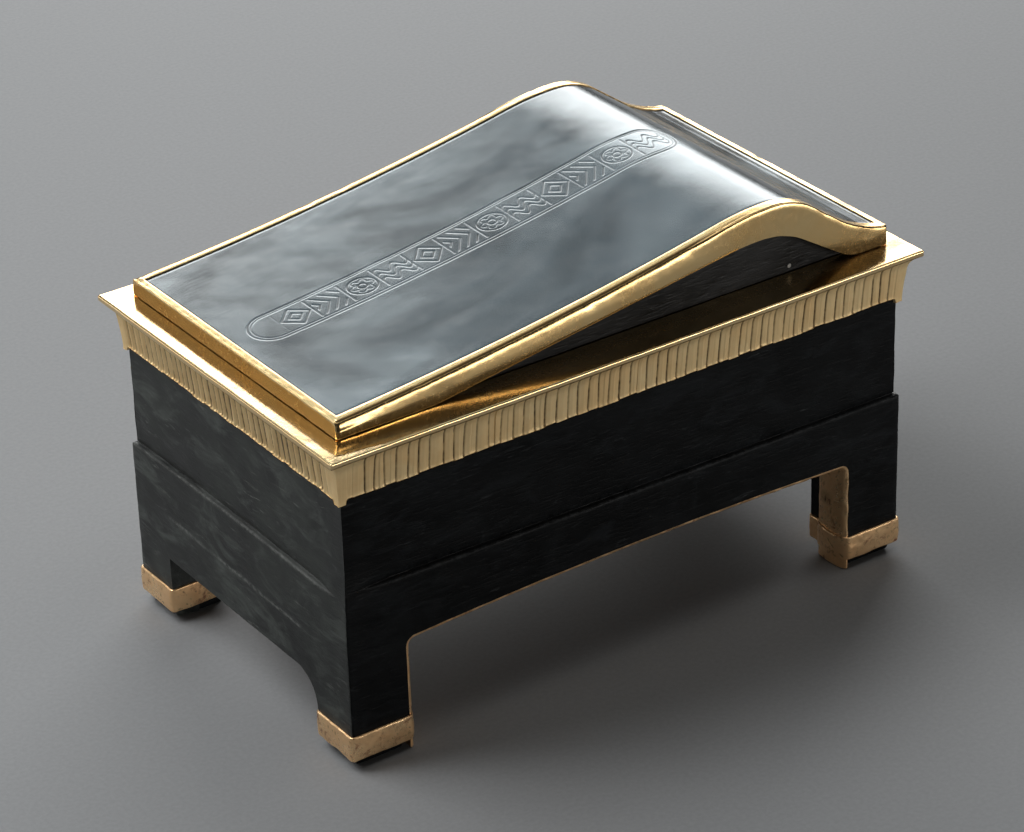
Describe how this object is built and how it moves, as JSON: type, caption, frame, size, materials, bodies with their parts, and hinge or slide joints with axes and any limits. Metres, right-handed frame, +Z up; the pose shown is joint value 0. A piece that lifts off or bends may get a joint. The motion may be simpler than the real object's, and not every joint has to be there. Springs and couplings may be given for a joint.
{
  "type": "inkwell",
  "caption": "Casket-shaped desk inkwell on four legs: black wood box with gilt cornice, shoes and lid rim, glass wells inside, and a hinged sloping lid with a curled high end.",
  "frame": {"origin": "on the table, below the middle of the box (bottom centre of the bounding box)", "axes": "+X along the box towards the lid's high curled end, -Y towards the front long side, +Z up; the hinges are on the +Y side"},
  "size_m": [0.1568, 0.0958, 0.0971],
  "materials": {
    "ebony": "black satin wood, streaked and worn lighter at the arrises",
    "polished_panel": "polished black wood with a cloudy blue-grey sheen and cut ornament",
    "inner_wood": "plain dark wood, unpolished",
    "gilt_cornice": "gilt sheet pressed into upright flutes",
    "gilt_plate": "gilt sheet, polished, slightly uneven",
    "gilt_rim": "gilt, satin with small dents",
    "gilt_copper": "reddish gilt sheet, worn and spotted",
    "well_gilt": "turned and polished gilt brass",
    "well_glass": "clear pressed glass",
    "hinge_brass": "aged brass",
    "pale_pin": "small pale metal pin head"
  },
  "bodies": {
    "case": {"back_board": "ebony", "back_cornice_rail": "inner_wood", "back_cornice_sheet": "gilt_cornice", "back_left_leg_block": "inner_wood", "back_left_shoe": "gilt_copper", "back_opening_strip": "gilt_copper", "back_right_leg_block": "inner_wood", "back_right_shoe": "gilt_copper", "floor_board": "inner_wood", "front_board": "ebony", "front_cornice_rail": "inner_wood", "front_left_cornice_sheet": "gilt_cornice", "front_left_leg_block": "inner_wood", "front_left_shoe": "gilt_copper", "front_opening_strip": "gilt_copper", "front_right_cornice_sheet": "gilt_cornice", "front_right_leg_block": "inner_wood", "front_right_shoe": "gilt_copper", "hinge_base_rivets": "hinge_brass", "left_board": "ebony", "left_cornice_rail": "inner_wood", "left_cornice_sheet": "gilt_cornice", "left_hinge_base_leaf": "hinge_brass", "left_hinge_pin": "hinge_brass", "left_ink_jar": "well_glass", "left_well_collar": "well_gilt", "right_board": "ebony", "right_cornice_rail": "inner_wood", "right_cornice_sheet": "gilt_cornice", "right_hinge_base_leaf": "hinge_brass", "right_hinge_pin": "hinge_brass", "right_ink_jar": "well_glass", "right_well_collar": "well_gilt", "top_plate": "gilt_plate", "well_carrier_plate": "well_gilt"},
    "lid": {"hinge_lid_screws": "hinge_brass", "left_hinge_lid_leaf": "hinge_brass", "lid_core": "ebony", "lid_panel": "polished_panel", "lid_rim_back": "gilt_rim", "lid_rim_front": "gilt_rim", "lid_rim_high": "gilt_rim", "lid_rim_low": "gilt_rim", "lid_side_pin": "pale_pin", "right_hinge_lid_leaf": "hinge_brass"}
  },
  "joints": [
    {"name": "lid_hinge", "type": "hinge", "parent": "case", "child": "lid", "pos_m": [0, 0.045, 0.07905], "axis": [-1, 0, 0], "range_deg": [0, 105]}
  ]
}
